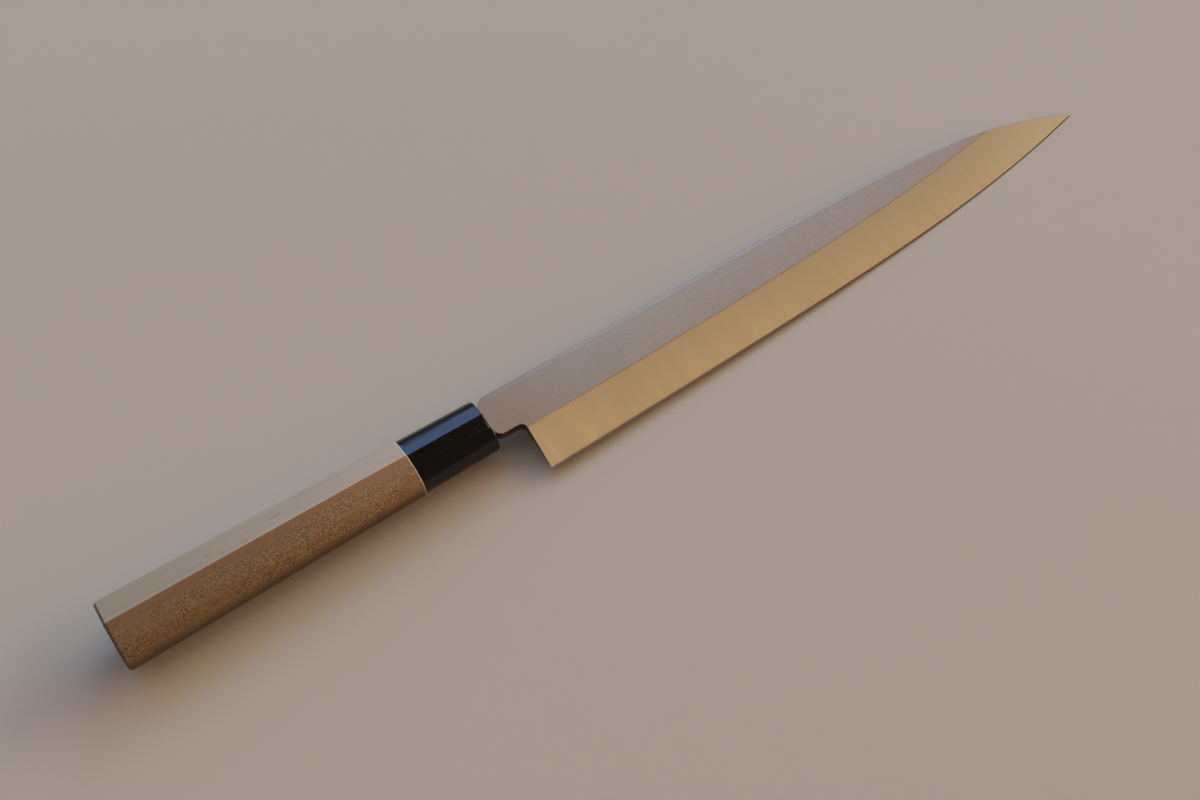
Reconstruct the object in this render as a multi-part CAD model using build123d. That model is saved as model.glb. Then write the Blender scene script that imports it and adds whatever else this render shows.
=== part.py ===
from build123d import *
import math
import os

# A yanagiba, the long single-bevel slicing knife, laid on its left side.
# It is drawn in the knife's own axes: X from the handle to the tip, Y from the edge to the spine,
# Z out of the right-hand face. X = 0 is the front of the ferrule and the X axis is the handle's.
# Every length is in millimetres. The last function lays the finished pieces down on the table.

# Driving sizes of the blade's outline
blade_length = 270.0
blade_height = 35.5
heel_reach = 10.7
heel_lean = 1.1
spine_height = 9.35
spine_rise = 2.0
spine_bend_length = 155.0
edge_rake = 5.0
belly_rise = 13.1
neck_drop = 7.0
shoulder_gap = 1.4
spine_shoulder_radius = 4.0
lower_shoulder_radius = 2.6
choil_radius = 2.3

# Driving sizes of the blade's section
spine_thickness = 4.0
point_thickness = 1.9
flat_fall = 0.3
bevel_height = 17.0
bevel_flare = 2.6
edge_land = 0.2
spine_ease = 0.3
back_hollow_depth = 0.35
back_rim = 2.2
back_hollow_start = 4.0
back_hollow_end = 14.0

# Driving sizes of the tang
tang_length = 96.0
tang_height = 8.0
tang_end_height = 5.0
tang_thickness = 3.6
tang_end_thickness = 2.4
tang_point = 5.0

# Driving sizes of the handle
handle_length = 138.0
butt_width = 26.0
butt_thickness = 20.8
front_width = 21.0
front_thickness = 17.2
ridge_offset = 0.55
corner_radius = 7.1
corner_rise = 1.2
front_corner_rise = 0.6
butt_chamfer = 0.8

# Driving sizes of the ferrule and of what fills the handle's mouth
ferrule_length = 30.0
ferrule_step = 0.4
ferrule_wall = 2.3
ferrule_edge_radius = 0.5
glue_gap = 0.05
bedding_gap = 0.6
bedding_end_gap = 3.0

# Degrees that the knife leans towards its edge when it lies on a table
rest_roll = 5.7

# Powers that shape the curved stretches, and places of the sections along the blade
belly_power = 4.2
sweep_power = 2.0
point_power = 4.5
sweep_share = 0.3
flare_power = 2.0
curve_shares = (0.0, 0.2, 0.4, 0.56, 0.7, 0.82, 0.92, 1.0)
hollow_shares = (0.0, 0.12, 0.35, 0.6, 0.8, 0.92, 1.0)
hollow_depth_shares = (0.1, 1.0, 1.0, 1.0, 0.9, 0.6, 0.1)

# How far a cutting tool runs past the surface that it cuts
overrun = 5.0

half_thickness = spine_thickness / 2
tip_x = heel_reach + blade_length
heel_y = spine_height - blade_height
bend_x = tip_x - spine_bend_length
flat_taper = (spine_thickness - point_thickness) / blade_length
flat_slope = flat_fall / (blade_height - bevel_height)


def edge_y(x):
    """Height of the cutting edge: a slight rake from the heel plus a belly that grows towards the tip."""
    along = max(x - heel_reach, 0) / blade_length
    return heel_y + edge_rake * along + belly_rise * along**belly_power


def spine_line_y(x):
    """Height of the straight spine, which opens slightly away from the handle's axis."""
    return spine_height + spine_rise * (x - heel_reach) / blade_length


def spine_y(x):
    """Height of the spine: straight at first, then a gentle sweep that turns down hard to the tip."""
    drop = spine_line_y(tip_x) - edge_y(tip_x)
    along = max(x - bend_x, 0) / spine_bend_length
    sweep = sweep_share * along**sweep_power + (1 - sweep_share) * along**point_power
    return spine_line_y(x) - drop * sweep


def bevel_line_y(x):
    """Height of the line where the flat meets the bevel: it follows the edge at a nearly even distance."""
    along = max(x - heel_reach, 0) / blade_length
    return edge_y(x) + bevel_height + bevel_flare * along**flare_power


def flat_z(x, y):
    """Height of the flat above the handle's axis: it thins towards the tip and towards the bevel."""
    return half_thickness - flat_taper * (x - heel_reach) - flat_slope * (spine_height - y)


def blade_outline():
    """Closed face of the blade's outline, with its neck and rounded shoulders."""
    edge_points = [(heel_reach + share * blade_length) for share in curve_shares]
    spine_points = [(bend_x + share * spine_bend_length) for share in curve_shares]
    back_top = (shoulder_gap, spine_line_y(shoulder_gap))
    back_bottom = (shoulder_gap, -neck_drop)
    choil = (heel_reach + heel_lean, -neck_drop)
    heel = (heel_reach, heel_y)
    edges = [
        Line(back_top, back_bottom),
        Line(back_bottom, choil),
        Line(choil, heel),
        Spline([(x, edge_y(x)) for x in edge_points]),
        Spline([(x, spine_y(x)) for x in spine_points]),
        Line((bend_x, spine_y(bend_x)), back_top),
    ]
    outline = make_face(edges)
    corners = (
        (back_top, spine_shoulder_radius),
        (back_bottom, lower_shoulder_radius),
        (choil, choil_radius),
    )
    for corner, radius in corners:
        nearest = outline.vertices().sort_by_distance(Vector(*corner))[0]
        outline = fillet(nearest, radius)
    return outline


def section_face(x, points):
    """Flat face across the blade at x, from points given as (y, z)."""
    corners = [Vector(x, y, z) for y, z in points]
    return Face(Wire.make_polygon(corners, close=True))


def flat_plane():
    """Plane of the flat, the upper part of the right-hand face."""
    on_spine = (heel_reach, spine_height, half_thickness)
    return Plane(origin=on_spine, z_dir=(flat_taper, -flat_slope, 1))


def bevel_section(x):
    """Section at x of what the bevel grind takes away, from past the edge to the bevel line and up."""
    low_y, high_y = edge_y(x), bevel_line_y(x)
    low_z = -half_thickness + edge_land
    high_z = flat_z(x, high_y)
    slope = (high_z - low_z) / (high_y - low_y)
    past_y = low_y - overrun
    above_y = high_y + overrun
    corners = (
        (past_y, low_z - slope * overrun),
        (above_y, high_z + slope * overrun),
        (above_y, high_z + slope * overrun + overrun),
        (past_y, high_z + slope * overrun + overrun),
    )
    return section_face(x, corners)


def bevel_cutter():
    """Solid above the bevel, ruled from the bevel line to the edge along the whole blade."""
    stations = [heel_reach - overrun] + [heel_reach + share * blade_length for share in curve_shares]
    return loft([bevel_section(x) for x in stations])


def hollow_section(x, depth):
    """Segment of a circle across the blade's left face, as wide as the face less its flat rim."""
    low_y, high_y = edge_y(x) + back_rim, min(spine_y(x), spine_line_y(x)) - back_rim
    back_z = -half_thickness
    arc = ThreePointArc((x, low_y, back_z), (x, (low_y + high_y) / 2, back_z + depth), (x, high_y, back_z))
    chord = Line((x, high_y, back_z), (x, low_y, back_z))
    return make_face([arc, chord])


def back_hollow():
    """Solid of the shallow hollow that is ground into the left face."""
    start = heel_reach + back_hollow_start
    length = blade_length - back_hollow_start - back_hollow_end
    stations = zip(hollow_shares, hollow_depth_shares)
    return loft([hollow_section(start + share * length, depth * back_hollow_depth) for share, depth in stations])


def tang_form(grow=0.0, longer=0.0):
    """Tapered tang with a blunt point, or the same form grown on every side for the bedding round it."""
    sizes = (
        (shoulder_gap, tang_height, tang_thickness),
        (tang_point - tang_length, tang_end_height, tang_end_thickness),
        (-tang_length - longer, tang_end_height / 2, tang_end_thickness),
    )
    faces = []
    for x, height, thickness in sizes:
        plane = Plane(origin=(x, 0, 0), x_dir=(0, 1, 0), z_dir=(1, 0, 0))
        faces.append(plane * Rectangle(height + 2 * grow, thickness + 2 * grow))
    return loft(faces, ruled=True)


def is_side(face):
    """True for a face that stands across the blade's thickness, above the heel."""
    return abs(face.normal_at().Z) < abs(face.normal_at().Y) + abs(face.normal_at().X) and face.center().Y > heel_y / 2


def long_edges(solid):
    """Edges of the sides that run round the outline and border one of the blade's two faces."""
    edges = [edge for face in solid.faces() if is_side(face) for edge in face.edges()]
    return [edge for edge in edges if abs(edge.tangent_at(0.5).Z) < 0.5]


def forging():
    """Forged blank, over-thick on the right, with the left-hand arrises already eased."""
    blank = Pos(0, 0, -half_thickness) * extrude(blade_outline(), spine_thickness + overrun)
    left = [edge for edge in long_edges(blank) if edge.center().Z < 0]
    return fillet(left, spine_ease)


def blade():
    """The blade and its tang in one piece: outline, tapered flat, single bevel, hollow back, tang."""
    ground = split(forging(), flat_plane(), keep=Keep.BOTTOM) - bevel_cutter()
    middles = [(edge, edge.position_at(0.5)) for edge in long_edges(ground)]
    borders = [edge for edge, at in middles if abs(at.Z - flat_z(at.X, at.Y)) < spine_ease / 2]
    arrises = [edge for edge in borders if edge.center().Y > bevel_line_y(edge.center().X)]
    return fillet(arrises, spine_ease) - back_hollow() + tang_form()


def skin_arc(centre, radius, start, end):
    """Arc of a round corner between two directions from its centre."""
    middle = (start + end).normalized()
    return ThreePointArc(centre + start * radius, centre + middle * radius, centre + end * radius)


def touch_direction(centre, radius, point, sense):
    """Direction from a round corner's centre to where a line from the point touches the corner."""
    away = point - centre
    angle = math.degrees(math.acos(radius / away.length))
    return away.normalized().rotate(Axis.Z, sense * angle)


def across_direction(start, end):
    """Direction square to the line between two centres, out of the handle."""
    return (end - start).normalized().rotate(Axis.Z, 90)


def handle_section(x, inset=0.0):
    """Outline across the handle at x: a skin stretched over three round corners and one ridge."""
    along = (x + handle_length) / handle_length
    half_width = (butt_width + (front_width - butt_width) * along) / 2
    half_height = (butt_thickness + (front_thickness - butt_thickness) * along) / 2
    scale = half_height / (butt_thickness / 2)
    rise = corner_rise + (front_corner_rise - corner_rise) * along
    radius = corner_radius - inset
    spine_side = Vector(half_width - corner_radius, rise)
    edge_side = Vector(corner_radius - half_width, rise)
    bottom = Vector(0, corner_radius - half_height)
    ridge = Vector(ridge_offset * scale, half_height - inset)
    from_ridge = touch_direction(spine_side, radius, ridge, -1)
    to_ridge = touch_direction(edge_side, radius, ridge, 1)
    down = across_direction(spine_side, bottom)
    up = across_direction(bottom, edge_side)
    arcs = [
        skin_arc(spine_side, radius, from_ridge, down),
        skin_arc(bottom, radius, down, up),
        skin_arc(edge_side, radius, up, to_ridge),
    ]
    flats = [
        Line(ridge, arcs[0] @ 0),
        Line(arcs[0] @ 1, arcs[1] @ 0),
        Line(arcs[1] @ 1, arcs[2] @ 0),
        Line(arcs[2] @ 1, ridge),
    ]
    plane = Plane(origin=(x, 0, 0), x_dir=(0, 1, 0), z_dir=(1, 0, 0))
    return plane * make_face(arcs + flats)


def handle_taper(*stations):
    """Straight-sided lengths of the handle between stations, each a place on the axis and an inset."""
    return loft([handle_section(x, inset) for x, inset in stations], ruled=True)


def handle_body():
    """Wooden handle with the tenon that fills the ferrule and the socket burnt in for the tang."""
    rim = (butt_chamfer - handle_length, 0)
    wood = handle_taper((-handle_length, butt_chamfer), rim, (-ferrule_length, 0))
    tenon_inset = ferrule_wall + glue_gap
    tenon = handle_taper((-ferrule_length, tenon_inset), (0, tenon_inset))
    return wood + tenon - tang_form(bedding_gap, bedding_end_gap)


def ferrule():
    """Black collar over the tenon, a little smaller than the wood behind it."""
    collar = handle_taper((-ferrule_length, ferrule_step), (0, ferrule_step))
    front = collar.faces().sort_by(Axis.X)[-1]
    collar = fillet(front.edges(), ferrule_edge_radius)
    return collar - handle_taper((-ferrule_length, ferrule_wall), (0, ferrule_wall))


def tang_bedding():
    """Set resin that fills the burnt socket round the tang and seals the handle's mouth."""
    length = tang_length + bedding_end_gap
    inside = Pos(-length / 2, 0, 0) * Box(length, butt_width, butt_thickness)
    return (tang_form(bedding_gap, bedding_end_gap) & inside) - tang_form()


def resting_turn():
    """Turn that lays the knife on the front shoulder of the wood and on its point."""
    along = (handle_length - ferrule_length) / handle_length
    shoulder_half = (butt_thickness + (front_thickness - butt_thickness) * along) / 2
    lean = math.radians(rest_roll)
    shoulder_low = (corner_radius - shoulder_half) * math.cos(lean) - corner_radius
    point_low = edge_y(tip_x) * math.sin(lean) - half_thickness * math.cos(lean)
    pitch = math.degrees(math.atan((point_low - shoulder_low) / (tip_x + ferrule_length)))
    return Rot(0, pitch, 0) * Rot(rest_roll, 0, 0)


def lay_down(pieces):
    """Lays the knife down on the plane Z = 0 with the origin under the middle of its box."""
    turned = {name: resting_turn() * piece for name, piece in pieces.items()}
    box = Compound(list(turned.values())).bounding_box()
    middle = box.center()
    return {name: Pos(-middle.X, -middle.Y, -box.min.Z) * piece for name, piece in turned.items()}


def main():
    """Builds every piece and writes one file for each."""
    pieces = {
        "blade": blade(),
        "handle_body": handle_body(),
        "ferrule": ferrule(),
        "tang_bedding": tang_bedding(),
    }
    os.makedirs("parts", exist_ok=True)
    for name, piece in lay_down(pieces).items():
        export_step(piece, f"parts/{name}.step")
        print(name, round(piece.volume), "mm3", piece.bounding_box())


main()
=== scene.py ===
# %% [markdown]
# # A long slicing knife, dressed for its picture
# The solids of this knife are a blade with its tang, a wooden handle, a black ferrule and the
# resin that fills the handle's mouth. This lesson gives them finer skins and real finishes,
# and changes none of their sizes.

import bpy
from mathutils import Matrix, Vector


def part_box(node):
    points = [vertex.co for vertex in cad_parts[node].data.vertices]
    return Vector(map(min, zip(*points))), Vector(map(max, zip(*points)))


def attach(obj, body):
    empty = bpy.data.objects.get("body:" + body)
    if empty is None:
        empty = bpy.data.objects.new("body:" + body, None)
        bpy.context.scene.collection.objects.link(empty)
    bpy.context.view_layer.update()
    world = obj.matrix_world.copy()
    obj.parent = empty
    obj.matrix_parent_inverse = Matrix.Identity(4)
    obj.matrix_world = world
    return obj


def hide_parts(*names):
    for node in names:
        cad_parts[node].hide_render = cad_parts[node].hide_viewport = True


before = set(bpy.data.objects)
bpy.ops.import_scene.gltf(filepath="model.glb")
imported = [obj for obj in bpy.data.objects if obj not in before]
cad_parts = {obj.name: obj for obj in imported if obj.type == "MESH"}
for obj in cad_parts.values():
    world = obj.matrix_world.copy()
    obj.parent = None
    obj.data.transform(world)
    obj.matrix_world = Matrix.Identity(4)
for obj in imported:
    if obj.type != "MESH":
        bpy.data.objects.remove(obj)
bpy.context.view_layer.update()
print("solids:", ", ".join(sorted(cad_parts)))

# %% The other tools of the lesson
import math

import bpy
import numpy as np
from mathutils import Matrix, Quaternion, Vector

mm = 0.001

# %% [markdown]
# ## The knife's own sizes
# A maker works from a few sizes. These are the ones that the solids were made from, in
# metres. The knife is drawn in its own axes: X from the handle to the tip, Y from the edge
# to the spine, Z out of the right-hand face, with X = 0 at the front of the ferrule.

# %% Sizes of the blade
blade_length = 270 * mm
blade_height = 35.5 * mm
heel_reach = 10.7 * mm
heel_lean = 1.1 * mm
spine_height = 9.35 * mm
spine_rise = 2.0 * mm
spine_bend_length = 155 * mm
edge_rake = 5.0 * mm
belly_rise = 13.1 * mm
neck_drop = 7.0 * mm
shoulder_gap = 1.4 * mm
spine_shoulder_radius = 4.0 * mm
lower_shoulder_radius = 2.6 * mm
choil_radius = 2.3 * mm
spine_thickness = 4.0 * mm
point_thickness = 1.9 * mm
flat_fall = 0.3 * mm
bevel_height = 17.0 * mm
bevel_flare = 2.6 * mm
edge_land = 0.2 * mm
spine_ease = 0.3 * mm
back_hollow_depth = 0.35 * mm
back_rim = 2.2 * mm
back_hollow_start = 4.0 * mm
back_hollow_end = 14.0 * mm
belly_power = 4.2
sweep_power = 2.0
point_power = 4.5
sweep_share = 0.3
flare_power = 2.0

half_thickness = spine_thickness / 2
tip_x = heel_reach + blade_length
heel_y = spine_height - blade_height
bend_x = tip_x - spine_bend_length
flat_taper = (spine_thickness - point_thickness) / blade_length
flat_slope = flat_fall / (blade_height - bevel_height)

# %% Sizes of the tang, the handle and the ferrule
tang_length = 96 * mm
tang_height = 8.0 * mm
tang_end_height = 5.0 * mm
tang_thickness = 3.6 * mm
tang_end_thickness = 2.4 * mm
handle_length = 138 * mm
butt_width = 26.0 * mm
butt_thickness = 20.8 * mm
front_width = 21.0 * mm
front_thickness = 17.2 * mm
ridge_offset = 0.55 * mm
corner_radius = 7.1 * mm
corner_rise = 1.2 * mm
front_corner_rise = 0.6 * mm
butt_chamfer = 0.8 * mm
ferrule_length = 30 * mm
ferrule_step = 0.4 * mm
ferrule_wall = 2.3 * mm
ferrule_edge_radius = 0.5 * mm
glue_gap = 0.05 * mm
bedding_gap = 0.6 * mm
bedding_end_gap = 3.0 * mm
rest_roll = math.radians(5.7)

# %% [markdown]
# ## The lines of the blade
# On the real knife the smith draws three long lines: the cutting edge, the spine, and the
# line where the flat turns into the single bevel. They could be traced as points, but a
# formula for each keeps them fair, which is what the eye checks first on such a blade.

# %% Edge, spine, bevel line and flat as formulas


def part_way(first, last, share):
    """first + (last - first) * share."""
    return first + (last - first) * share


def share_along(x):
    """(x - heel) / blade length, and zero behind the heel."""
    return np.clip((x - heel_reach) / blade_length, 0, None)


def edge_y(x):
    """heel + rake * share + rise * share ^ power: nearly straight, then the belly."""
    share = share_along(x)
    return heel_y + edge_rake * share + belly_rise * share**belly_power


def spine_line_y(x):
    """The straight spine: height + rise * share of the length."""
    return spine_height + spine_rise * (x - heel_reach) / blade_length


def spine_y(x):
    """The straight line less drop * (sweep * along ^ 2 + rest * along ^ power)."""
    drop = spine_line_y(tip_x) - edge_y(tip_x)
    along = np.clip((x - bend_x) / spine_bend_length, 0, None)
    sweep = sweep_share * along**sweep_power + (1 - sweep_share) * along**point_power
    return spine_line_y(x) - drop * sweep


def bevel_line_y(x):
    """The edge plus the bevel's height, which grows with the square of the share."""
    return edge_y(x) + bevel_height + bevel_flare * share_along(x) ** flare_power


def flat_z(x, y):
    """A plane: half the thickness less the taper along X and the fall towards the edge."""
    return half_thickness - flat_taper * (x - heel_reach) - flat_slope * (spine_height - y)


print("height at the heel", round((spine_y(heel_reach) - heel_y) / mm, 1), "mm")

# %% [markdown]
# ## How the knife lies
# A knife laid on its left side rests on the front shoulder of the wood and on its point, so
# it pitches down to the tip and leans to its edge. The turn is worked out from those sizes.

# %% The turn from the knife's axes to the table


def resting_turn():
    """Pitch about Y times roll about X, as a matrix whose columns are the knife's axes."""
    along = (handle_length - ferrule_length) / handle_length
    shoulder_half = part_way(butt_thickness, front_thickness, along) / 2
    shoulder_low = (corner_radius - shoulder_half) * math.cos(rest_roll) - corner_radius
    point_low = edge_y(tip_x) * math.sin(rest_roll) - half_thickness * math.cos(rest_roll)
    pitch = math.atan((point_low - shoulder_low) / (tip_x + ferrule_length))
    tilt = Matrix.Rotation(pitch, 3, "Y") @ Matrix.Rotation(rest_roll, 3, "X")
    return np.array(tilt)


turn = resting_turn()
print("pitch of the knife", round(math.degrees(math.asin(-turn[2, 0])), 2), "degrees")

# %% [markdown]
# ## One way to make every skin
# Each piece is a closed skin of rings of points that run round it. A ring may shrink to a
# point or a line to close an end. Subdivision could smooth a rough cage, but points from
# formulas already lie on the real surface. Points that fall on each other are welded, and
# the faces that this folds up are dropped.

# %% Equal points and folded faces
weld_step = 1e-4 * mm


def weld(points):
    """Equal points, to a tenth of a micron, become one. Returns them and each point's number."""
    keys = np.round(points / weld_step).astype(np.int64)
    _, first, number = np.unique(keys, axis=0, return_index=True, return_inverse=True)
    return points[first], number.reshape(-1)


def ring_faces(count, around, closed):
    """Corner numbers of the quads between each ring and the next, and round each ring."""
    rings = np.arange(count if closed else count - 1)[:, None]
    places = np.arange(around)[None, :]
    here, after = rings * around, (rings + 1) % count * around
    onward = (places + 1) % around
    return np.stack([here + places, here + onward, after + onward, after + places], -1)


def fold_out(quads, finishes):
    """Quads with two equal neighbouring corners become triangles, and emptier ones go."""
    same = quads == np.roll(quads, -1, axis=1)
    crossed = (quads[:, 0] == quads[:, 2]) | (quads[:, 1] == quads[:, 3])
    whole = (same.sum(1) == 0) & ~crossed
    bent = (same.sum(1) == 1) & ~crossed
    corners = quads[bent][~same[bent]].reshape(-1, 3)
    return quads[whole], corners, np.concatenate([finishes[whole], finishes[bent]])


print("points weld within", weld_step / mm, "mm")

# %% Rings of points to a mesh


def volume_of(points, quads, corners):
    """A sixth of the sum of a . (b x c) over the triangles: above zero if faces look out."""
    fans = np.concatenate([quads[:, :3], quads[:, [0, 2, 3]], corners])
    a, b, c = points[fans].transpose(1, 0, 2)
    return (a * np.cross(b, c)).sum() / 6



def crease_edges(mesh, pairs):
    """Marks the mesh's edges that join these pairs of points as sharp."""
    ends = np.empty(len(mesh.edges) * 2, np.int64)
    mesh.edges.foreach_get("vertices", ends)
    code = np.sort(ends.reshape(-1, 2), axis=1) @ np.array([len(mesh.vertices), 1])
    wanted = np.sort(pairs, axis=1) @ np.array([len(mesh.vertices), 1])
    sharp = mesh.attributes.new("sharp_edge", "BOOLEAN", "EDGE")
    sharp.data.foreach_set("value", np.isin(code, wanted))


def skin(name, parts, finishes):
    """A mesh object from parts, each (rings, closed, crease rings, crease places, finish map)."""
    points, quads, kinds, pairs, base = [], [], [], [], 0
    for rings, closed, crease_rings, crease_places, finish_map in parts:
        count, around = rings.shape[:2]
        grid = np.arange(count * around).reshape(count, around) + base
        faces = ring_faces(count, around, closed) + base
        points.append(rings.reshape(-1, 3))
        quads.append(faces.reshape(-1, 4))
        kinds.append(np.broadcast_to(finish_map, faces.shape[:2]).reshape(-1))
        for ring in crease_rings:
            pairs.append(np.stack([grid[ring], np.roll(grid[ring], -1)], -1))
        for place in crease_places:
            pairs.append(np.stack([grid[:-1, place], grid[1:, place]], -1))
        base += count * around
    solid, number = weld(np.concatenate(points))
    quads, corners, kinds = fold_out(number[np.concatenate(quads)], np.concatenate(kinds))
    if volume_of(solid, quads, corners) < 0:
        quads, corners = quads[:, ::-1], corners[:, ::-1]
    mesh = bpy.data.meshes.new(name)
    mesh.from_pydata(solid.tolist(), [], quads.tolist() + corners.tolist())
    mesh.polygons.foreach_set("use_smooth", np.ones(len(mesh.polygons), bool))
    if pairs:
        crease_edges(mesh, number[np.concatenate(pairs)])
    for finish in finishes:
        mesh.materials.append(finish)
    mesh.polygons.foreach_set("material_index", kinds.astype(np.int32))
    piece = bpy.data.objects.new(name, mesh)
    bpy.context.scene.collection.objects.link(piece)
    print(name, len(solid), "points", len(quads) + len(corners), "faces")
    return piece


# %% [markdown]
# ## The blade as rings
# Think of the blade cut across from its lower outline to its upper one, again and again from
# the back of the neck to the tip. Each cut is a ring: along the right-hand face, over the
# spine, back along the left-hand face and round the lower side. Behind the heel the lower
# outline turns up to the neck, so there the cuts fan out.

# %% The two outlines, point for point
neck_middle = 0.4 * mm
choil_cut = 13.0 * mm
heel_cut = 30.0 * mm
underside_cut = 10.0 * mm
path_counts = {"back": 8, "corner": 30, "underside": 12, "choil": 40, "heel": 40, "edge": 420}
end_crowding = 0.35


def straight(start, end, count):
    """start + share * (end - start), without the last point."""
    share = np.linspace(0, 1, count, endpoint=False)[:, None]
    return np.array(start) * (1 - share) + np.array(end) * share


def arc(centre, radius, start, end, count):
    """centre + radius * (cos a, sin a) for even angles a in degrees, without the last."""
    angle = np.radians(np.linspace(start, end, count, endpoint=False))
    return np.array(centre) + radius * np.stack([np.cos(angle), np.sin(angle)], -1)


def crowded_shares(count):
    """Shares from 0 to 1 that lie closer at both ends: a line mixed with half a cosine."""
    even = np.linspace(0, 1, count)
    return even * (1 - end_crowding) + end_crowding * (1 - np.cos(np.pi * even)) / 2


def lower_outline():
    """Down the back of the neck, under it, round the choil, down the heel and along the edge."""
    n = path_counts
    choil = np.array([heel_reach + heel_lean, -neck_drop])
    heel = np.array([heel_reach, heel_y])
    down = (heel - choil) / np.linalg.norm(heel - choil)
    turned = math.acos(down[0])
    reach = choil_radius * math.tan(turned / 2)
    under_end = choil - (reach, 0)
    choil_middle = under_end - (0, choil_radius)
    corner = (shoulder_gap + lower_shoulder_radius, lower_shoulder_radius - neck_drop)
    x = heel_reach + blade_length * crowded_shares(n["edge"])
    return np.concatenate([
        straight((shoulder_gap, neck_middle), (shoulder_gap, corner[1]), n["back"]),
        arc(corner, lower_shoulder_radius, 180, 270, n["corner"]),
        straight((corner[0], -neck_drop), under_end, n["underside"]),
        arc(choil_middle, choil_radius, 90, 90 - math.degrees(turned), n["choil"]),
        straight(choil + down * reach, heel, n["heel"]),
        np.stack([x, edge_y(x)], -1),
    ])


def upper_outline():
    """Up the back of the neck, round its shoulder and along the spine to the tip."""
    n = path_counts
    slope = math.atan(spine_rise / blade_length)
    centre_x = shoulder_gap + spine_shoulder_radius
    centre = (centre_x, spine_line_y(centre_x) - spine_shoulder_radius / math.cos(slope))
    spine_start = centre_x - spine_shoulder_radius * math.sin(slope)
    x = np.concatenate([
        np.linspace(spine_start, underside_cut, n["underside"], endpoint=False),
        np.linspace(underside_cut, choil_cut, n["choil"], endpoint=False),
        np.linspace(choil_cut, heel_cut, n["heel"], endpoint=False),
        part_way(heel_cut, tip_x, crowded_shares(n["edge"])),
    ])
    return np.concatenate([
        straight((shoulder_gap, neck_middle), (shoulder_gap, centre[1]), n["back"]),
        arc(centre, spine_shoulder_radius, 180, 90 + math.degrees(slope), n["corner"]),
        np.stack([x, spine_y(x)], -1),
    ])


lower, upper = lower_outline(), upper_outline()
cuts = len(lower)
print(cuts, "cuts across the blade")

# %% [markdown]
# ## Heights of the two faces
# The right-hand face is the lowest of three slopes: the flat, the bevel and the narrow
# sharpened strip along the edge. Taking the lowest makes the crease where two of them meet
# without any cutting. The left-hand face is flat but for a shallow hollow.

# %% The two faces as heights
strip_width = 0.55 * mm
edge_thickness = 0.05 * mm
hollow_fade = 0.1
least_half = mm / 10


def bevel_slope(x):
    """Rise of the bevel per metre across, from the edge's land up to the bevel line."""
    high_y = bevel_line_y(x)
    return (flat_z(x, high_y) + half_thickness - edge_land) / (high_y - edge_y(x))


def right_z(x, y):
    """The lowest of flat, bevel and sharpened strip."""
    across = y - edge_y(x)
    slope = bevel_slope(x)
    bevel = edge_land - half_thickness + slope * across
    strip_slope = slope + (edge_land - edge_thickness) / strip_width
    strip = edge_thickness - half_thickness + strip_slope * across
    return np.minimum(np.minimum(flat_z(x, y), bevel), strip)


def left_z(x, y):
    """Depth * (1 - (distance from the middle / half width) ^ 2), faded by 3 f^2 - 2 f^3."""
    low = edge_y(x) + back_rim
    high = np.minimum(spine_y(x), spine_line_y(x)) - back_rim
    half = np.maximum((high - low) / 2, least_half)
    bowl = np.clip(1 - ((y - (low + high) / 2) / half) ** 2, 0, 1)
    start = heel_reach + back_hollow_start
    share = (x - start) / (blade_length - back_hollow_start - back_hollow_end)
    fade = np.clip(np.minimum(share, 1 - share) / hollow_fade, 0, 1)
    return -half_thickness + back_hollow_depth * bowl * fade * fade * (3 - 2 * fade)


heel_angle = math.degrees(math.atan(bevel_slope(heel_reach)))
print("angle of the bevel at the heel", round(heel_angle, 1), "degrees")

# %% [markdown]
# ## From outlines and faces to the blade's skin
# Rows of points run from the lower outline to the upper one. One row follows the bevel line
# exactly and is marked as a crease, so the shading breaks there as cleanly as the grind does.
# The arrises are eased by a quarter round, as a polisher eases them for the fingers.

# %% Where the rows lie
ease_rows, bevel_rows, flat_rows, wall_rows, back_rows = 7, 18, 14, 3, 44
bevel_end = ease_rows + bevel_rows - 1
flat_end = bevel_end + flat_rows - 1
back_start = flat_end + ease_rows + wall_rows
back_end = back_start + ease_rows + back_rows - 2 + ease_rows - 1
edge_ease = 0.02 * mm
heel_ease = 0.08 * mm
ease_length_share = 0.3
ease_thickness_share = 0.4
bisections = 40


def crossing(low, high):
    """Share along each cut where it meets the bevel line, by halving the gap forty times."""
    near, far = np.zeros(len(low)), np.ones(len(low))
    for _ in range(bisections):
        middle = (near + far) / 2
        at = low + (high - low) * middle[:, None]
        below = at[:, 1] < bevel_line_y(at[:, 0])
        near, far = np.where(below, middle, near), np.where(below, far, middle)
    return far


def easing(limit):
    """Radius of the eased lower arris along the outline: full at the neck, fine at the edge."""
    n = path_counts
    neck = n["back"] + n["corner"] + n["underside"] + n["choil"]
    heel = np.linspace(spine_ease, heel_ease, n["heel"])
    radius = np.concatenate([np.full(neck, spine_ease), heel, np.full(n["edge"], edge_ease)])
    return np.minimum(radius, limit)


def quarter_round(count):
    """1 - cos and 1 - sin of even angles from nothing to a right angle."""
    angle = np.linspace(0, np.pi / 2, count)
    return 1 - np.stack([np.cos(angle), np.sin(angle)])


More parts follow.
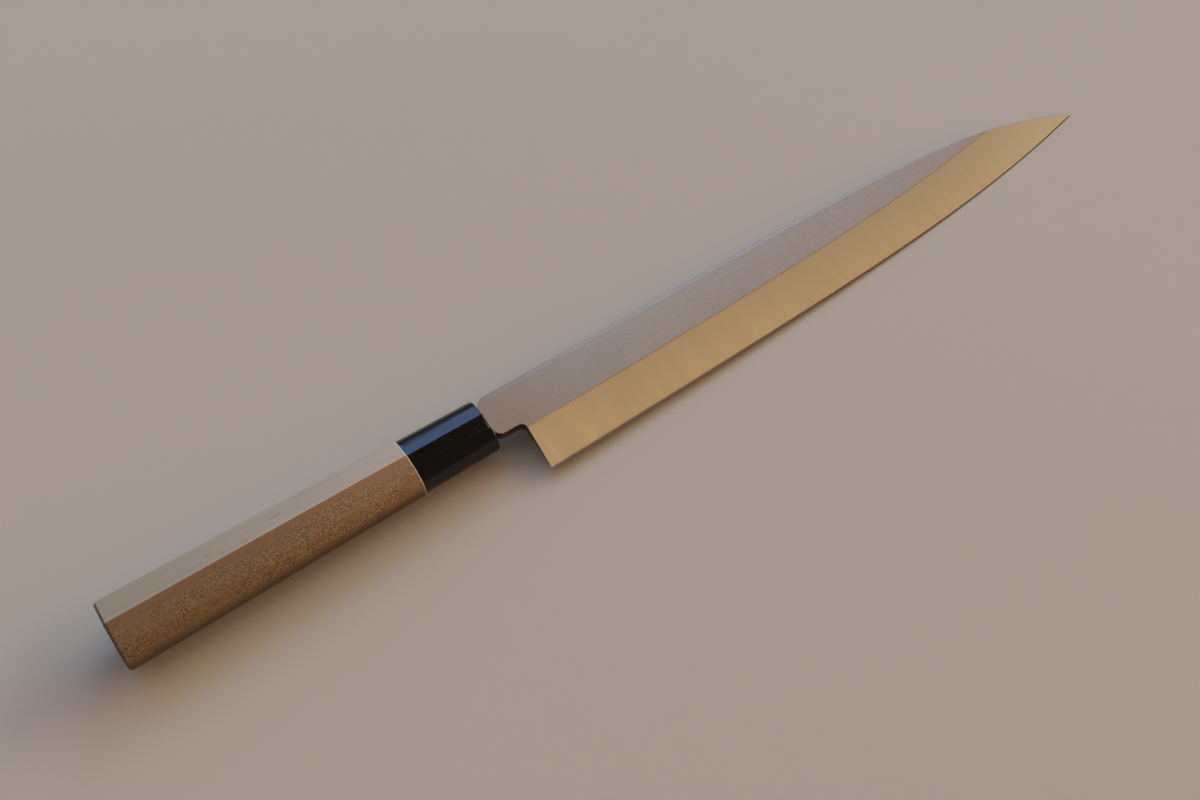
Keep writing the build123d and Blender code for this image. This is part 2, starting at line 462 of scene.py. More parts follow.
def row_ways(length):
    """How far up each cut every row lies, and how deep below its face: r - r cos, r - r sin."""
    limit = length * ease_length_share
    thin = (right_z(*upper.T) - left_z(*upper.T)) * ease_thickness_share
    low_ease = easing(limit)
    high_ease = np.minimum(np.minimum(spine_ease, thin), limit)
    on_edge = np.arange(cuts) >= cuts - path_counts["edge"]
    strip = np.maximum(np.where(on_edge, np.minimum(strip_width, limit), low_ease), low_ease)
    top = length - high_ease
    cross = np.clip(crossing(lower, upper) * length, strip, top)
    rise, sink = quarter_round(ease_rows)[..., None]
    right_way = np.concatenate([
        low_ease * rise,
        part_way(strip, cross, np.linspace(0, 1, bevel_rows)[:, None]),
        part_way(cross, top, np.linspace(0, 1, flat_rows)[1:, None]),
        (length - high_ease * rise)[::-1][1:],
    ])
    level = np.zeros((bevel_rows + flat_rows - 1, cuts))
    right_sink = np.concatenate([low_ease * sink, level, (high_ease * sink)[::-1][1:]])
    left_way = np.concatenate([
        length - high_ease * rise,
        part_way(top, low_ease, np.linspace(0, 1, back_rows)[1:-1, None]),
        (low_ease * rise)[::-1],
    ])
    level = np.zeros((back_rows - 2, cuts))
    left_sink = np.concatenate([high_ease * sink, level, (low_ease * sink)[::-1]])
    return right_way, right_sink, left_way, left_sink


print("rows round the blade", back_end + 1 + wall_rows)

# %% Rings of the blade
point_setback = 0.05 * mm
tiny = 1e-9


def blade_rings():
    """Right-hand face, spine wall, left-hand face and edge wall, row by row, as rings."""
    length = np.linalg.norm(upper - lower, axis=1)
    right_way, right_sink, left_way, left_sink = row_ways(length)
    heading = (upper - lower) / np.maximum(length, tiny)[:, None]
    right = lower + heading * right_way[..., None]
    left = lower + heading * left_way[..., None]
    right_height = right_z(right[..., 0], right[..., 1]) - right_sink
    right_height = np.maximum(right_height, -half_thickness)
    left_height = left_z(left[..., 0], left[..., 1]) + left_sink
    wall = np.linspace(0, 1, wall_rows + 2)[1:-1, None]
    spine_wall = part_way(right_height[-1], left_height[0], wall)
    edge_wall = part_way(left_height[-1], right_height[0], wall)
    rows_xy = np.concatenate([
        right, np.repeat(right[-1:], wall_rows, 0), left, np.repeat(left[-1:], wall_rows, 0)
    ])
    rows_z = np.concatenate([right_height, spine_wall, left_height, edge_wall])
    rings = np.concatenate([rows_xy, rows_z[..., None]], -1).transpose(1, 0, 2)
    rings[-1, :, 0] -= point_setback
    return rings


blade_skin = blade_rings()
print("rings", blade_skin.shape[0], "points round each", blade_skin.shape[1])

# %% Which finish each face of the blade takes
flat_kind, bevel_kind, strip_kind, back_kind, wall_kind, spine_kind = range(6)


def blade_finishes():
    """The number of a finish for every face, by the rows and the cuts that it lies between."""
    neck = path_counts["back"] + path_counts["corner"]
    edge_start = cuts - path_counts["edge"]
    kinds = np.full((cuts - 1, blade_skin.shape[1]), flat_kind)
    kinds[:, ease_rows:bevel_end] = bevel_kind
    kinds[edge_start:, :ease_rows] = strip_kind
    kinds[:edge_start, back_end:] = wall_kind
    kinds[:, back_start:back_end] = back_kind
    kinds[:, flat_end:back_start] = spine_kind
    # The spine round the neck takes the walls' finish, painted black as shade.
    kinds[:neck, flat_end:back_start] = wall_kind
    return kinds


blade_creases, blade_kinds = (ease_rows, bevel_end), blade_finishes()
print("faces by finish", np.bincount(blade_kinds.reshape(-1)))

# %% [markdown]
# ## The tang
# The tang is forged with the blade. Nearly all of it is out of sight in the handle, and a
# millimetre shows in front of the ferrule, so it is a plain tapered bar with eased corners.

# %% Rings of the tang
tang_overlap = 0.6 * mm
tang_point = 5.0 * mm
tang_rings, tang_points = 24, 48
tang_round_power = 8
tang_bend_x = tang_point - tang_length


def tang_halves(x):
    """Half the tang's height and thickness at x, tapering evenly from the neck to its point."""
    share = np.clip((shoulder_gap - x) / (shoulder_gap - tang_bend_x), 0, 1)
    tall = part_way(tang_height, tang_end_height, share) / 2
    thick = part_way(tang_thickness, tang_end_thickness, share) / 2
    return tall, thick


def tang_skin():
    """Rings of |y/a|^8 + |z/b|^8 = 1, a rectangle with soft corners, whose a and b taper."""
    bar = np.linspace(shoulder_gap, tang_bend_x, tang_rings)
    x = np.concatenate([[shoulder_gap + tang_overlap], bar, [-tang_length] * 2])
    tall, thick = tang_halves(x)
    tall[-2:] = tang_end_height / 4
    tall[-1] = thick[-1] = 0
    angle = np.linspace(0, 2 * np.pi, tang_points, endpoint=False)
    c, s, power = np.cos(angle), np.sin(angle), tang_round_power
    swell = (np.abs(c) ** power + np.abs(s) ** power) ** (-1 / power)
    y, z = tall[:, None] * c * swell, thick[:, None] * s * swell
    rings = np.stack([np.broadcast_to(x[:, None], y.shape), y, z], -1)
    return np.concatenate([rings[:1] * (1, 0, 0), rings])


tang_part = tang_skin()
print("rings of the tang", len(tang_part))

# %% [markdown]
# ## The handle's section
# The handle is a D with a ridge: a skin stretched over three round corners and one edge. In
# each direction the skin passes through the point that lies furthest out, so a direction and
# the furthest of four circles give its points and its slopes at once.

# %% The stretched skin
ridge_radius = 0.25 * mm
ridge_seat = 1.045
section_points = 360
directions = np.linspace(0, 2 * np.pi, section_points, endpoint=False)
outward = np.stack([np.cos(directions), np.sin(directions)], -1)


def set_along(x, section):
    """Rings of (y, z) with each ring's own x put before them."""
    return np.concatenate([np.broadcast_to(x[:, None, None], section.shape[:2] + (1,)), section], -1)


def handle_rings(stations):
    """For each (x, depth), the furthest point c + r n over four circles (c, r) in direction n."""
    x, inset = stations.T
    along = (x + handle_length) / handle_length
    half_width = part_way(butt_width, front_width, along) / 2
    half_height = part_way(butt_thickness, front_thickness, along) / 2
    rise = part_way(corner_rise, front_corner_rise, along)
    ridge_y = ridge_offset * (half_height / (butt_thickness / 2))
    side = half_width - corner_radius
    middles = np.stack([
        np.stack([side, rise], -1),
        np.stack([-side, rise], -1),
        np.stack([np.zeros_like(x), corner_radius - half_height], -1),
        np.stack([ridge_y, half_height - inset - ridge_radius * ridge_seat], -1),
    ], 1)
    radii = np.stack([corner_radius - inset] * 3 + [np.full_like(x, ridge_radius)], 1)
    reach = middles @ outward.T + radii[:, :, None]
    furthest = reach.argmax(1)
    rows = np.arange(len(x))[:, None]
    section = middles[rows, furthest] + radii[rows, furthest][..., None] * outward
    return set_along(x, section)


print("points round each section", section_points)

# %% [markdown]
# ## Wood and ferrule as turned profiles
# Both pieces follow the handle's axis. A list of stations, each a place on the axis and a
# depth under the skin, is carried along it. The wood's go over the butt, along the grip and
# the tenon, and back in down the socket for the tang.

# %% Rings of the wood
shoulder_round = 0.12 * mm
chamfer_round = 0.12 * mm
cap_shares = (0.0, 0.25, 0.5, 0.75, 0.92)
tenon_setback = 0.06 * mm
socket_length = tang_length + bedding_end_gap
grip_stations, corner_stations, socket_stations = 120, 5, 30


def socket_rings(x, guide):
    """Rectangles round the tang at each x, met by rays in the directions of a guide ring."""
    tall, thick = tang_halves(x)
    ray = guide[:, 1:] / np.linalg.norm(guide[:, 1:], axis=1)[:, None]
    across, out = np.abs(ray).clip(tiny).T
    reach = np.minimum((tall + bedding_gap)[:, None] / across, (thick + bedding_gap)[:, None] / out)
    return set_along(x, ray[None] * reach[..., None])


def run(start, end, count, depth):
    """Even stations from start to end, all at one depth."""
    x = np.linspace(start, end, count)
    return np.stack([x, np.full_like(x, depth)], -1)


def wood_stations():
    """(x, depth): over the butt's chamfer, along the grip, down the shoulder, along the tenon."""
    butt, rim, shoulder = -handle_length, butt_chamfer - handle_length, -ferrule_length
    over = np.array([
        (butt, butt_chamfer),
        (butt + chamfer_round / 3, butt_chamfer - chamfer_round),
        (rim - chamfer_round, chamfer_round),
        (rim + chamfer_round, 0),
    ])
    grip = run(rim + 2 * chamfer_round, shoulder - 2 * shoulder_round, grip_stations, 0)
    rise, sink = quarter_round(corner_stations) * shoulder_round
    corner = np.stack([shoulder - sink, rise], -1)
    tenon_inset = ferrule_wall + glue_gap
    front = np.array([(shoulder, tenon_inset), (-tenon_setback, tenon_inset)])
    return np.concatenate([over, grip, corner, front])


def wood_skin():
    """All the rings of the wood, from the middle of the butt to the bottom of the socket."""
    stations = wood_stations()
    outer = handle_rings(stations)
    cap = np.concatenate([outer[:1] * (1, share, share) for share in cap_shares])
    socket_x = np.linspace(-tenon_setback, -socket_length, socket_stations)
    socket = socket_rings(socket_x, outer[-1])
    rings = np.concatenate([cap, outer, socket, socket[-1:] * (1, 0, 0)])
    start, end = len(cap), len(cap) + len(stations)
    return rings, (start, end - 2, end - 1, end)


wood_rings, wood_creases = wood_skin()
print("rings of the wood", len(wood_rings))

# %% Rings of the ferrule
mouth_round = 0.2 * mm
seam_clearance = 0.02 * mm
collar_stations, rim_stations, inner_stations = 40, 9, 12


def ferrule_skin():
    """A closed profile: outer side, round front rim, front face, mouth, inner side and back."""
    back = seam_clearance - ferrule_length
    outer = run(back + mouth_round, -ferrule_edge_radius, collar_stations, ferrule_step)
    rise, sink = quarter_round(rim_stations)
    front_depth = ferrule_step + ferrule_edge_radius * rise
    front = np.stack([-ferrule_edge_radius * sink, front_depth], -1)[1:]
    mouth = np.stack([-mouth_round * rise, ferrule_wall - mouth_round * sink], -1)
    inner = run(-2 * mouth_round, back, inner_stations, ferrule_wall)
    rear = np.array([
        (back, ferrule_step + mouth_round),
        (back + mouth_round / 3, ferrule_step + mouth_round / 3),
    ])
    stations = np.concatenate([outer, front, mouth, inner, rear])
    return handle_rings(stations), (len(stations) - 3, len(stations) - 2)


ferrule_rings, ferrule_creases = ferrule_skin()
print("rings of the ferrule", len(ferrule_rings))

# %% [markdown]
# ## Lay the skins where the solids lie
# The skins are turned as the knife lies, and moved so that the box of the wood falls on that
# of the solid wood. One place then serves for every piece.

# %% The place of the knife's axes on the table
turned_wood = wood_rings.reshape(-1, 3) @ turn.T
knife_place = np.array(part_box("handle_body")[0]) - turned_wood.min(0)
knife_place[1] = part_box("handle_body")[1][1] - turned_wood[:, 1].max()
print("front of the ferrule lies at", (knife_place / mm).round(2), "mm")


def lay(rings):
    """turn * point + place, for every point of the rings."""
    return rings @ turn.T + knife_place


# %% [markdown]
# ## Writing a finish as sums
# A finish is worked out from where a point lies: how far along the grain, how far from the
# edge. Written with nodes alone this soon becomes a tangle, so a small class lets the nodes
# be written as sums in Python. One method makes every other node.

# %% A number over a surface, and a finish


class Tone:
    """A number that varies over a surface. Each sum of tones adds the Math node for it."""

    def __init__(self, finish, socket):
        self.finish = finish
        self.socket = socket

    def worked(self, operation, first, second):
        return self.finish.node("ShaderNodeMath", {"operation": operation}, {0: first, 1: second})

    def __add__(self, other):
        return self.worked("ADD", self, other)

    def __sub__(self, other):
        return self.worked("SUBTRACT", self, other)

    def __rsub__(self, other):
        return self.worked("SUBTRACT", other, self)

    def __mul__(self, other):
        return self.worked("MULTIPLY", self, other)

    def __truediv__(self, other):
        return self.worked("DIVIDE", self, other)

    def __pow__(self, other):
        return self.worked("POWER", self, other)

    __radd__ = __add__
    __rmul__ = __mul__


class Finish:
    """The nodes of a material or of the world, added one by one."""

    def __init__(self, holder):
        holder.use_nodes = True
        self.holder = holder
        self.tree = holder.node_tree
        self.tree.nodes.clear()

    def node(self, kind, settings, inputs, output=0):
        """Adds a node: its settings first, then the values or links of its sockets."""
        made = self.tree.nodes.new(kind)
        for key, value in settings.items():
            setattr(made, key, value)
        for key, value in inputs.items():
            if isinstance(value, Tone):
                self.tree.links.new(value.socket, made.inputs[key])
            else:
                made.inputs[key].default_value = value
        return None if output is None else Tone(self, made.outputs[output])

    def feed(self, colour, roughness, **more):
        """The material with this surface. The names in more have underscores for spaces."""
        sockets = {key.replace("_", " "): value for key, value in more.items()}
        sockets.update({"Base Color": colour, "Roughness": roughness})
        surface = self.node("ShaderNodeBsdfPrincipled", {}, sockets)
        self.node("ShaderNodeOutputMaterial", {}, {"Surface": surface}, None)
        return self.holder


# %% Helpers that finishes share
to_knife = np.array(turn).T
knife_angles = tuple(Matrix(to_knife.tolist()).to_euler("XYZ"))
knife_shift = tuple(-(to_knife @ knife_place) / mm)


def axes_of(vector):
    """The three numbers of a vector."""
    split = vector.finish.node("ShaderNodeSeparateXYZ", {}, {"Vector": vector}).socket.node
    return [Tone(vector.finish, number) for number in split.outputs]


def knife_finish(name):
    """A finish, the place of its points in the knife's axes in mm, and that place's numbers."""
    finish = Finish(bpy.data.materials.new(name))
    place = finish.node("ShaderNodeTexCoord", {}, {}, "Object")
    where = finish.node("ShaderNodeMapping", {}, {
        "Vector": place, "Location": knife_shift, "Rotation": knife_angles, "Scale": (1 / mm,) * 3
    })
    return finish, where, axes_of(where)


def noise(where, along, across, detail=3.0, roughness=0.5, warp=0.0):
    """Noise whose cells are 1 / along millimetres long and 1 / across wide and deep."""
    node = where.finish.node
    stretch = {0: where, 1: (along, across, across)}
    scaled = node("ShaderNodeVectorMath", {"operation": "MULTIPLY"}, stretch)
    return node("ShaderNodeTexNoise", {}, {
        "Vector": scaled, "Scale": 1.0, "Detail": detail, "Roughness": roughness, "Distortion": warp
    })


def between(value, low, high, first=0.0, second=1.0):
    """first below low, second above high, and an even slope from one to the other."""
    return value.finish.node("ShaderNodeMapRange", {"clamp": True}, {
        "Value": value, "From Min": low, "From Max": high, "To Min": first, "To Max": second
    })


def blend(share, first, second):
    """The first colour where share is 0, the second where it is 1."""
    sides = [c if isinstance(c, Tone) else (*c, 1.0) for c in (first, second)]
    colours = {0: share, 6: sides[0], 7: sides[1]}
    return share.finish.node("ShaderNodeMix", {"data_type": "RGBA"}, colours, 2)


def dimmed(shade, factor):
    """The colour times a number."""
    scale = {"operation": "SCALE"}
    return shade.finish.node("ShaderNodeVectorMath", scale, {0: shade, "Scale": factor})


def relief(height, strength, depth):
    """A bump of this height map, where a height of 1 is depth in metres."""
    sockets = {"Height": height, "Strength": strength, "Distance": depth}
    return height.finish.node("ShaderNodeBump", {}, sockets)


print("knife's axes start at", [round(v, 1) for v in knife_shift], "mm in the finishes")

# %% [markdown]
# ## Satin steel
# The flat of the blade is ground and rubbed along its length until it is satin. Up close
# there are fine lines, faint clouds where fingers wiped it, and a browner neck. Brushed
# steel could use anisotropy alone, but lines that change the roughness look right from
# every side. The walls of the neck and choil are painted black as shade and dark
# reflection, and lighter brown low down as painted shadow.

# %% The flat
flat_grey, cloud_grey = (0.4, 0.352, 0.345), (0.368, 0.322, 0.316)
neck_brown, line_grey = (0.352, 0.26, 0.236), (0.31, 0.28, 0.275)


def satin_flat():
    """Grey steel with lengthwise lines, clouds and a brown neck, with painted shade that makes it dimmer
    towards the tip.
    """
    finish, where, (x, *_) = knife_finish("satin_steel")
    lines = noise(where, 0.012, 1.6, 1.5)
    cross = noise(where, 0.35, 0.04, 1)
    clouds = noise(where, 0.03, 0.09, 3, 0.55)
    shade = blend(between(clouds, 0.35, 0.7), flat_grey, cloud_grey)
    shade = blend(between(x, 4, 40, 0.9, 0), shade, neck_brown)
    shade = blend(between(lines, 0.5, 0.75, 0, 0.25), shade, line_grey)
    # Painted shade: the flat is dimmer towards the tip.
    shade = dimmed(shade, between(x, 70, 240, 1.05, 0.88))
    rough = lines * 0.06 + cross * 0.04 + clouds * 0.06 + 0.19
    bump = relief(lines, 0.05, 0.02 * mm)
    return finish.feed(shade, rough, Metallic=1, Normal=bump)


satin_steel = satin_flat()
print("finish", satin_steel.name)

# %% The walls and the spine
# The black and brown of the walls are painted shade and dark reflection, and the lower brown is painted
# shadow.
wall_shade_black, wall_shade_brown, lower_shadow_brown = (0.01, 0.008, 0.007), (0.03, 0.025, 0.021), (0.12, 0.098, 0.08)
spine_grey, spine_pale, spine_shade_black = (0.17, 0.155, 0.15), (0.24, 0.215, 0.205), (0.012, 0.009, 0.007)


def dark_walls():
    """Painted shade and dark reflection: black walls of the neck, the choil and the heel, lighter brown
    below as painted shadow.
    """
    finish, where, (*_, z) = knife_finish("shaded_dark_steel")
    scale = noise(where, 1.2, 1.2, 4, 0.6)
    # Painted shadow: each wall turns lighter brown towards its bottom, to meet the floor's shadow.
    lower_shadow = between(z + scale * 0.8 - 0.4, 0.6, -0.7)
    shade = blend(lower_shadow, blend(scale, wall_shade_black, wall_shade_brown), lower_shadow_brown)
    rough, bump = scale * 0.2 + 0.42, relief(scale, 0.3, 0.05 * mm)
    return finish.feed(shade, rough, Metallic=0.3, Normal=bump)


def rubbed_spine():
    """Matt grey steel on the spine and its eased arris, with painted dark reflection in black near the
    handle.
    """
    finish, where, (x, *_) = knife_finish("rubbed_spine")
    lines = noise(where, 0.05, 6, 3, 0.6)
    # Painted dark reflection: the spine turns black near the handle.
    shade = blend(between(x, 6, 40), spine_shade_black, blend(lines, spine_grey, spine_pale))
    rough = lines * 0.1 + 0.6
    return finish.feed(shade, rough, Specular_IOR_Level=0.05)


wall_steel, spine_steel = dark_walls(), rubbed_spine()
print("finishes", wall_steel.name, spine_steel.name)

# %% [markdown]
# ## The ground bevel
# The single bevel is ground across on a wet wheel and left a little coarser than the flat.
# Its marks run from the bevel line down to the edge, with faint bands where the pressure of
# the hands changed. The warmth of its colour is painted reflection of the warm light that
# the bevel faces, and the heel is painted brighter. The edge itself is a strip that the
# stone has just touched, with a painted dark hairline as the shadow beneath the edge.

# %% The bevel
# The warmth of these colours is painted reflection of the warm light that the bevel faces.
bevel_low, bevel_high = (0.51, 0.424, 0.322), (0.435, 0.362, 0.278)
band_gold, cloud_gold, bevel_line_brown = (0.425, 0.352, 0.272), (0.47, 0.385, 0.29), (0.22, 0.18, 0.135)


def lines_of_blade(x, y):
    """Millimetres above the cutting edge and below the bevel line, by their formulas."""
    from_heel = (x - heel_reach / mm) / (blade_length / mm)
    share = from_heel.worked("MAXIMUM", from_heel, 0)
    edge = share * (edge_rake / mm) + (share**belly_power) * (belly_rise / mm) + heel_y / mm
    wide = (share**flare_power) * (bevel_flare / mm) + bevel_height / mm
    return y - edge, edge + wide - y


def ground_bevel():
    """Steel painted warm as reflection, with marks across, bands of pressure, a dark bevel line and a
    painted highlight at the heel.
    """
    finish, where, (x, y, _) = knife_finish("ground_bevel")
    marks = noise(where, 4, 0.1, 4, 0.6)
    bands = noise(where, 0.16, 0.012, 3)
    clouds = noise(where, 0.06, 0.06, 2)
    above, below = lines_of_blade(x, y)
    shade = blend(between(above, 3, 17), bevel_low, bevel_high)
    shade = blend(between(bands, 0.35, 0.7, 0, 0.5), shade, band_gold)
    shade = blend(between(clouds, 0.5, 0.75, 0, 0.35), shade, cloud_gold)
    shade = blend(between(below, 0.75, 0.25, 0, 0.6), shade, bevel_line_brown)
    # Painted highlight: the bevel is brighter at the heel and dimmer towards the tip.
    shade = dimmed(shade, between(x, 12, 48, 1.2, 0.92))
    rough = marks * 0.08 + bands * 0.06 + 0.25
    bump = relief(marks * 0.8 + bands * 0.6, 0.12, 0.03 * mm)
    return finish.feed(shade, rough, Metallic=1, Normal=bump)


ground_steel = ground_bevel()
print("finish", ground_steel.name)

# %% The sharpened strip and the hollow back
# The black of the edge is painted shadow.
strip_bright, strip_dull, edge_shadow_black = (0.58, 0.52, 0.42), (0.46, 0.41, 0.33), (0.02, 0.013, 0.008)
back_grey, back_cloud = (0.4, 0.38, 0.375), (0.33, 0.31, 0.3)


def sharpened_strip():
    """Bright steel with a painted shadow hairline along the edge, which widens on the belly of the edge."""
    finish, where, (x, y, _) = knife_finish("sharpened_strip")
    above, _ = lines_of_blade(x, y)
    marks = noise(where, 9, 0.5)
    shadow_widening = between(x, 190, 270, 0, 0.24)
    # Painted shadow: a dark hairline just above the edge, wider on the belly.
    edge_shadow = between(above - shadow_widening, 0.36, 0.24) * between(x, 30, 150, 0.4, 1)
    shade = blend(edge_shadow, blend(marks, strip_bright, strip_dull), edge_shadow_black)
    rough = marks * 0.1 + edge_shadow * 0.4 + 0.22
    return finish.feed(shade, rough, Metallic=1 - edge_shadow)


def hollow_back():
    """The left-hand face: satin steel with the long marks of a big round wheel."""
    finish, where, _ = knife_finish("hollow_back")
    marks = noise(where, 0.015, 5, 4, 0.6)
    clouds = noise(where, 0.03, 0.08)
    shade = blend(clouds, back_grey, back_cloud)
    rough, bump = marks * 0.12 + clouds * 0.06 + 0.22, relief(marks, 0.12, 0.02 * mm)
    return finish.feed(shade, rough, Metallic=1, Normal=bump)


strip_steel, back_steel = sharpened_strip(), hollow_back()
print("finishes", strip_steel.name, back_steel.name)

# %% [markdown]
# ## Bare magnolia wood
# The handle is plain sanded wood with no varnish. On the face towards the spine the cut
# follows the grain, so it shows long faint lines and a few marks. On the face towards the
# edge it crosses the pores, which show as dark and light specks. The pale cream of the first
# face is partly painted light, and the deeper tan of the second partly painted shade. The
# round underside is painted darker as the shade it lies in, and the wood is painted darker
# towards the butt. Each face is written by itself and they join by the ridge, because no
# single grain gives both.

# %% The pale face
# The pale face's cream is partly painted light, and the ridge's colour is a painted highlight.
cream, cream_grey, cream_line = (0.45, 0.405, 0.352), (0.395, 0.352, 0.302), (0.31, 0.27, 0.215)
cream_yellow, ridge_highlight, mark_brown = (0.375, 0.332, 0.258), (0.53, 0.445, 0.34), (0.22, 0.18, 0.115)
wood_marks = ((-76.5, 5.2, 2.6), (-89, 1.9, 1.2), (-101, 4.4, 1.5))
mark_slimness = 2.2


def pale_lit_face(x, y, clouds, rings, fibres):
    """Cream, partly painted light, with long lines, yellower to the butt, a painted highlight along the
    ridge, and the marks.
    """
    # Painted highlight: a light line along the ridge.
    ridge_highlight_line = between(y, 0.3, 0.9) * between(y, 1.5, 1)
    shade = blend(clouds, cream, cream_grey)
    shade = blend(between(rings, 0.54, 0.68, 0, 0.35), shade, cream_line)
    shade = blend(between(x, -40, -130, 0, 0.8), shade, cream_yellow)
    shade = blend(ridge_highlight_line * 0.5, shade, ridge_highlight)
    for mark_x, mark_y, length in wood_marks:
        reach = ((x - mark_x) * (1 / length)) ** 2 + ((y - mark_y) * mark_slimness) ** 2
        shade = blend(between(reach + fibres, 1.5, 0.9, 0, 0.6), shade, mark_brown)
    return shade


print("marks on the pale face", len(wood_marks))

# %% The tan face
# The tan face's colours are partly painted shade, and the brown of the underside is painted shade.
tan_light, tan_dark, tan_line = (0.285, 0.178, 0.089), (0.235, 0.137, 0.066), (0.16, 0.086, 0.042)
tan_red, underside_shade_brown = (0.275, 0.155, 0.082), (0.15, 0.105, 0.05)
pore_dark, pore_light, speck_black = (0.082, 0.043, 0.02), (0.47, 0.325, 0.165), (0.05, 0.028, 0.017)


def tan_shaded_face(x, y, shaded_underside, clouds, rings, pores, patches, specks):
    """Tan, partly painted shade, with pores and specks over its middle, redder by the ridge, and painted
    shade underneath and towards the butt.
    """
    middle = between(y, -0.6, -3.6, 0.22, 1) * (1 - shaded_underside * 0.85)
    grain = between(patches, 0.35, 0.6, 0.45, 1) * middle
    shade = blend(clouds, tan_light, tan_dark)
    shade = blend(between(rings, 0.55, 0.68, 0, 0.35), shade, tan_line)
    shade = blend(between(y, -3.6, -0.6, 0, 0.35), shade, tan_red)
    shade = blend(between(pores, 0.51, 0.6) * grain * 0.95, shade, pore_dark)
    shade = blend(between(pores, 0.47, 0.36) * grain * 0.85, shade, pore_light)
    shade = blend(between(specks, 0.67, 0.73, 0, 0.85) * middle, shade, speck_black)
    # Painted shade: the underside is darker, and the face is darker towards the butt and lighter at the
    # front.
    shade = blend(shaded_underside * 0.6, shade, underside_shade_brown)
    shade = dimmed(shade, 1 - shaded_underside * between(x, -90, -50, 0.45, 0.6))
    return dimmed(shade, between(x, -90, -30, 0.92, 1.14))


print("the tan face reddens from", tan_light, "to", tan_red)

# %% The wood as a whole
# The rim's brown is painted shade, the pale cream by the ferrule a painted highlight, and the end grain
# dark with painted shade.
fibre_brown, rim_shade_brown = (0.23, 0.158, 0.1), (0.1, 0.068, 0.045)
lip_highlight_cream, end_grain_shade = (0.68, 0.6, 0.48), (0.12, 0.08, 0.05)


def bare_wood():
    """Both faces with fibres, painted shade on the rim at the butt, a painted highlight along the seam at
    the ferrule, and dark end grain with painted shade.
    """
    finish, where, (x, y, z) = knife_finish("magnolia_wood")
    wander = noise(where, 0.012, 0.05, 2)
    fibres = noise(where, 0.05, 2.2, 4, 0.6)
    pores = noise(where, 1.9, 2.7, 1.5, warp=0.3)
    patches = noise(where, 0.1, 0.16, 2)
    specks = noise(where, 1.3, 3.4, 1)
    rings = noise(where, 0.006, 0.55, 2, warp=0.4)
    clouds = noise(where, 0.025, 0.12)
    spine_side = between(y + wander * 0.5, 0.55, 0.95)
    tan = tan_shaded_face(x, y, between(z, 4.6, 1.4), clouds, rings, pores, patches, specks)
    shade = blend(spine_side, tan, pale_lit_face(x, y, clouds, rings, fibres))
    shade = blend(between(fibres, 0.45, 0.75, 0, 0.18), shade, fibre_brown)
    # Painted shade: the whole wood darkens towards the butt.
    shade = dimmed(shade, between(x, -138, -30, 0.76, 0.98))
    # Painted shade on the butt's rim.
    shade = blend(between(x, -136.9, -137.5) * 0.75, shade, rim_shade_brown)
    # Painted highlight: a pale line along the seam at the ferrule.
    lip_highlight = between(x, -30.35, -30.1) * between(x, -28.5, -29.5)
    shade = blend(lip_highlight * 0.85, shade, lip_highlight_cream)
    # End grain is darker, and it is painted darker still as shade in the ferrule's mouth.
    shade = blend(between(x, -0.6, -0.2, 0, 0.8), shade, end_grain_shade)
    height = fibres * 0.4 + pores * 0.6 - between(specks, 0.69, 0.75) * 0.6
    rough, bump = fibres * 0.15 + pores * 0.12 + 0.42, relief(height, 0.4, 0.06 * mm)
    return finish.feed(shade, rough, Normal=bump)


wood_finish = bare_wood()
print("finish", wood_finish.name)

# %% [markdown]
# ## The black ferrule and the resin
# The ferrule is polished black, so it is almost only what it mirrors. Hairlines from wiping
# and a few specks of dust keep it from looking drawn. The resin in the mouth is dull brown.

# %% Ferrule and resin
collar_black, collar_brown, dust_grey = (0.003, 0.0026, 0.0022), (0.005, 0.004, 0.0028), (0.16, 0.15, 0.14)
resin_dark, resin_light = (0.16, 0.09, 0.045), (0.3, 0.18, 0.09)


def polished_black():
    """Black with a faint brown body, hairlines and dust."""
    finish, where, (_, y, _) = knife_finish("polished_black")
    hair = noise(where, 0.08, 5, 3, 0.6)
    swell = noise(where, 0.1, 0.35, 2)
    specks = between(noise(where, 3.2, 3.2, 1), 0.74, 0.8)
    shade = blend(specks * 0.6, blend(swell, collar_black, collar_brown), dust_grey)
    rough = hair * 0.06 + specks * 0.4 + between(y, -6.5, -9.5, 0.04, 0.2)
    bump = relief(swell + hair * 0.03, 0.25, 0.04 * mm)
    return finish.feed(shade, rough, Specular_IOR_Level=0.4, Normal=bump)


def set_resin():
    """Dull brown resin with small pits."""
    finish, where, _ = knife_finish("set_resin")
    pits = noise(where, 1.5, 1.5, 4, 0.6)
    shade = blend(pits, resin_dark, resin_light)
    rough, bump = pits * 0.2 + 0.5, relief(pits, 0.5, 0.1 * mm)
    return finish.feed(shade, rough, Normal=bump)


black_finish, resin_finish = polished_black(), set_resin()
print("finishes", black_finish.name, resin_finish.name)

# %% [markdown]
# ## Put the pieces together
# Each skin takes the place of its solid. The resin keeps its CAD mesh and only changes its
# finish.

# %% The pieces on the table
blade_piece = skin(
    "blade_forging",
    [(lay(blade_skin), False, (), blade_creases, blade_kinds), (lay(tang_part), False, (), (), flat_kind)],
    [satin_steel, ground_steel, strip_steel, back_steel, wall_steel, spine_steel],
)
wood_piece = skin("handle_wood", [(lay(wood_rings), False, wood_creases, (), 0)], [wood_finish])
ferrule_piece = skin("ferrule_collar", [(lay(ferrule_rings), True, ferrule_creases, (), 0)], [black_finish])

for piece, node, slot in (
    (blade_piece, "blade", "blade_steel"),
    (wood_piece, "handle_body", "handle_wood"),
    (ferrule_piece, "ferrule", "ferrule_black"),
):
    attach(piece, "root")
    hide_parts(node)

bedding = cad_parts["tang_bedding"]
bedding.data.materials.clear()
bedding.data.materials.append(resin_finish)

